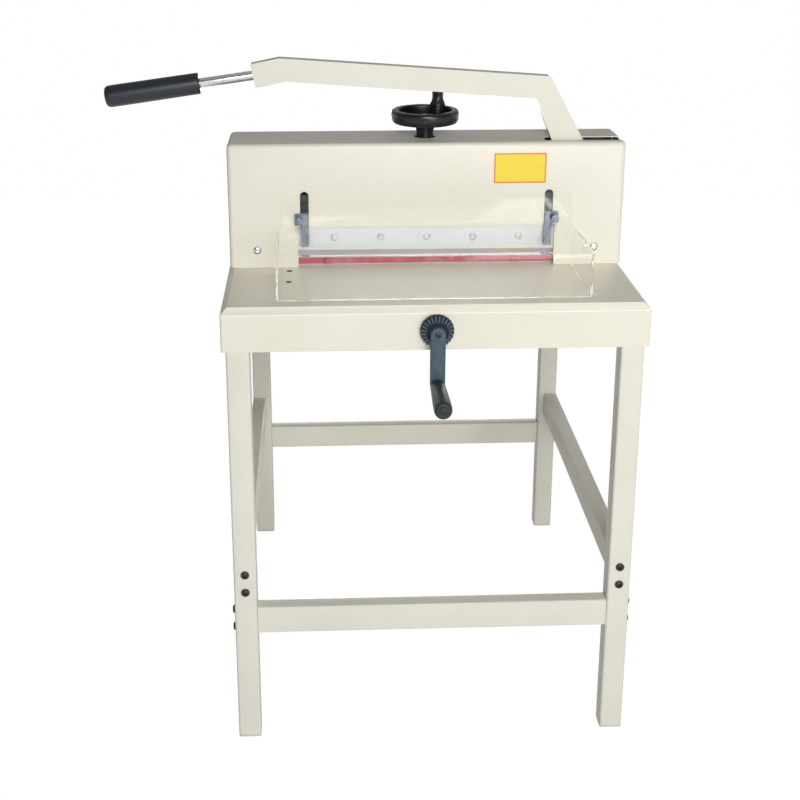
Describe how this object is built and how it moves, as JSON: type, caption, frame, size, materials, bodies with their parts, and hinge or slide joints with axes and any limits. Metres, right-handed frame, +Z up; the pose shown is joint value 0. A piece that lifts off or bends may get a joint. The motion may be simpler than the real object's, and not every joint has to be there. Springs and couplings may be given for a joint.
{
  "type": "manual stack paper cutter",
  "caption": "Floor-standing manual paper stack cutter: lever-driven knife in a cream housing, hand-wheel clamp, clear sliding guard, crank-driven back gauge, tube stand.",
  "frame": {"origin": "middle of the footprint at floor level", "axes": "+Z up, +X to the operator's right, +Y from the operator towards the paper side at the back"},
  "size_m": [0.83, 0.8888, 1.0753],
  "materials": {
    "housing_paint": "semi-gloss cream enamel",
    "table_paint": "semi-gloss cream enamel",
    "lever_paint": "semi-gloss cream enamel",
    "leg_paint": "satin grey cream enamel",
    "foot_plastic": "moulded pale plastic",
    "cast_iron": "grey primer on castings",
    "machined_steel": "ground steel",
    "bright_steel": "bright turned or rolled steel",
    "blade_steel": "finely ground tool steel",
    "bronze": "turned bronze",
    "black_plastic": "satin black moulding",
    "slate_plastic": "matt slate grey moulding",
    "red_plastic": "solid red plastic bar",
    "clear_plastic": "clear acrylic sheet"
  },
  "bodies": {
    "stand": {"leg_front_left": "leg_paint", "leg_front_right": "leg_paint", "leg_rear_left": "leg_paint", "leg_rear_right": "leg_paint", "foot_front_left": "foot_plastic", "foot_front_right": "foot_plastic", "foot_rear_left": "foot_plastic", "foot_rear_right": "foot_plastic", "stretcher_front": "leg_paint", "stretcher_rear": "leg_paint", "stretcher_left": "leg_paint", "stretcher_right": "leg_paint", "top_rail_front": "leg_paint", "top_rail_rear": "leg_paint", "bed_rail_left": "leg_paint", "bed_rail_right": "leg_paint", "table_casing": "table_paint", "bed_plate": "machined_steel", "cutting_stick": "red_plastic", "side_guide_left": "machined_steel", "side_frame_left": "cast_iron", "side_frame_right": "cast_iron", "crossbeam": "cast_iron", "housing_cover": "housing_paint", "rear_cover": "housing_paint", "pivot_shaft": "bright_steel", "pivot_collar": "bright_steel", "guide_bolt_left": "bright_steel", "guide_bolt_right": "bright_steel", "spindle_bush": "bronze", "leadscrew_bush_front": "bronze", "leadscrew_bush_rear": "bronze"},
    "lever": {"lever_arm": "lever_paint", "lever_bush": "bronze", "lever_rod": "bright_steel", "lever_grip": "black_plastic", "drive_pin": "bright_steel", "drive_roller": "bright_steel"},
    "knife_unit": {"knife_carrier": "bright_steel", "knife": "blade_steel"},
    "clamp_drive": {"handwheel": "black_plastic", "clamp_spindle": "bright_steel", "spindle_nut": "bright_steel", "knob_pin": "bright_steel"},
    "wheel_knob": {"handwheel_knob": "black_plastic"},
    "clamp_unit": {"clamp_bar": "cast_iron", "clamp_nut": "bronze"},
    "guard": {"guard_hood": "clear_plastic", "guard_bracket_left": "bright_steel", "guard_bracket_right": "bright_steel", "guard_screw_left": "bright_steel", "guard_screw_right": "bright_steel"},
    "crank": {"leadscrew": "bright_steel", "crank_dial": "black_plastic", "crank_arm": "slate_plastic", "crank_grip_pin": "bright_steel"},
    "grip_sleeve": {"crank_grip": "slate_plastic"},
    "gauge_unit": {"back_gauge": "machined_steel", "gauge_carriage": "bronze"}
  },
  "joints": [
    {"name": "lever_swing", "type": "hinge", "parent": "stand", "child": "lever", "pos_m": [0.3475, -0.0736, 0.868], "axis": [0, 1, 0], "range_deg": [0, 65]},
    {"name": "knife_slide", "type": "slide", "parent": "stand", "child": "knife_unit", "axis": [-0.3746, 0, 0.9272], "range_m": [0, 0.0518]},
    {"name": "handwheel_spin", "type": "hinge", "parent": "stand", "child": "clamp_drive", "pos_m": [0.0925, -0.0446, 0.967], "axis": [0, 0, 1], "range_deg": [-2890, 0]},
    {"name": "knob_spin", "type": "hinge", "parent": "clamp_drive", "child": "wheel_knob", "pos_m": [0.11579, -0.00846, 0.9867], "axis": [0, 0, 1], "continuous": true},
    {"name": "clamp_slide", "type": "slide", "parent": "stand", "child": "clamp_unit", "axis": [0, 0, 1], "range_m": [-0.04, 0]},
    {"name": "guard_slide", "type": "slide", "parent": "stand", "child": "guard", "axis": [0, 0, 1], "range_m": [0, 0.034]},
    {"name": "crank_spin", "type": "hinge", "parent": "stand", "child": "crank", "pos_m": [0.0925, -0.3443, 0.704], "axis": [0, 1, 0], "range_deg": [0, 14230]},
    {"name": "crank_grip_spin", "type": "hinge", "parent": "crank", "child": "grip_sleeve", "pos_m": [0.0925, -0.3446, 0.624], "axis": [0, 1, 0], "continuous": true},
    {"name": "gauge_slide", "type": "slide", "parent": "stand", "child": "gauge_unit", "axis": [0, 1, 0], "range_m": [-0.395, 0]}
  ],
  "couplings": [
    {"joint": "knife_slide", "follows": "lever_swing", "m_per_rad": 0.045634},
    {"joint": "handwheel_spin", "follows": "clamp_slide", "rad_per_m": 1256.6},
    {"joint": "crank_spin", "follows": "gauge_slide", "rad_per_m": -628.32}
  ]
}
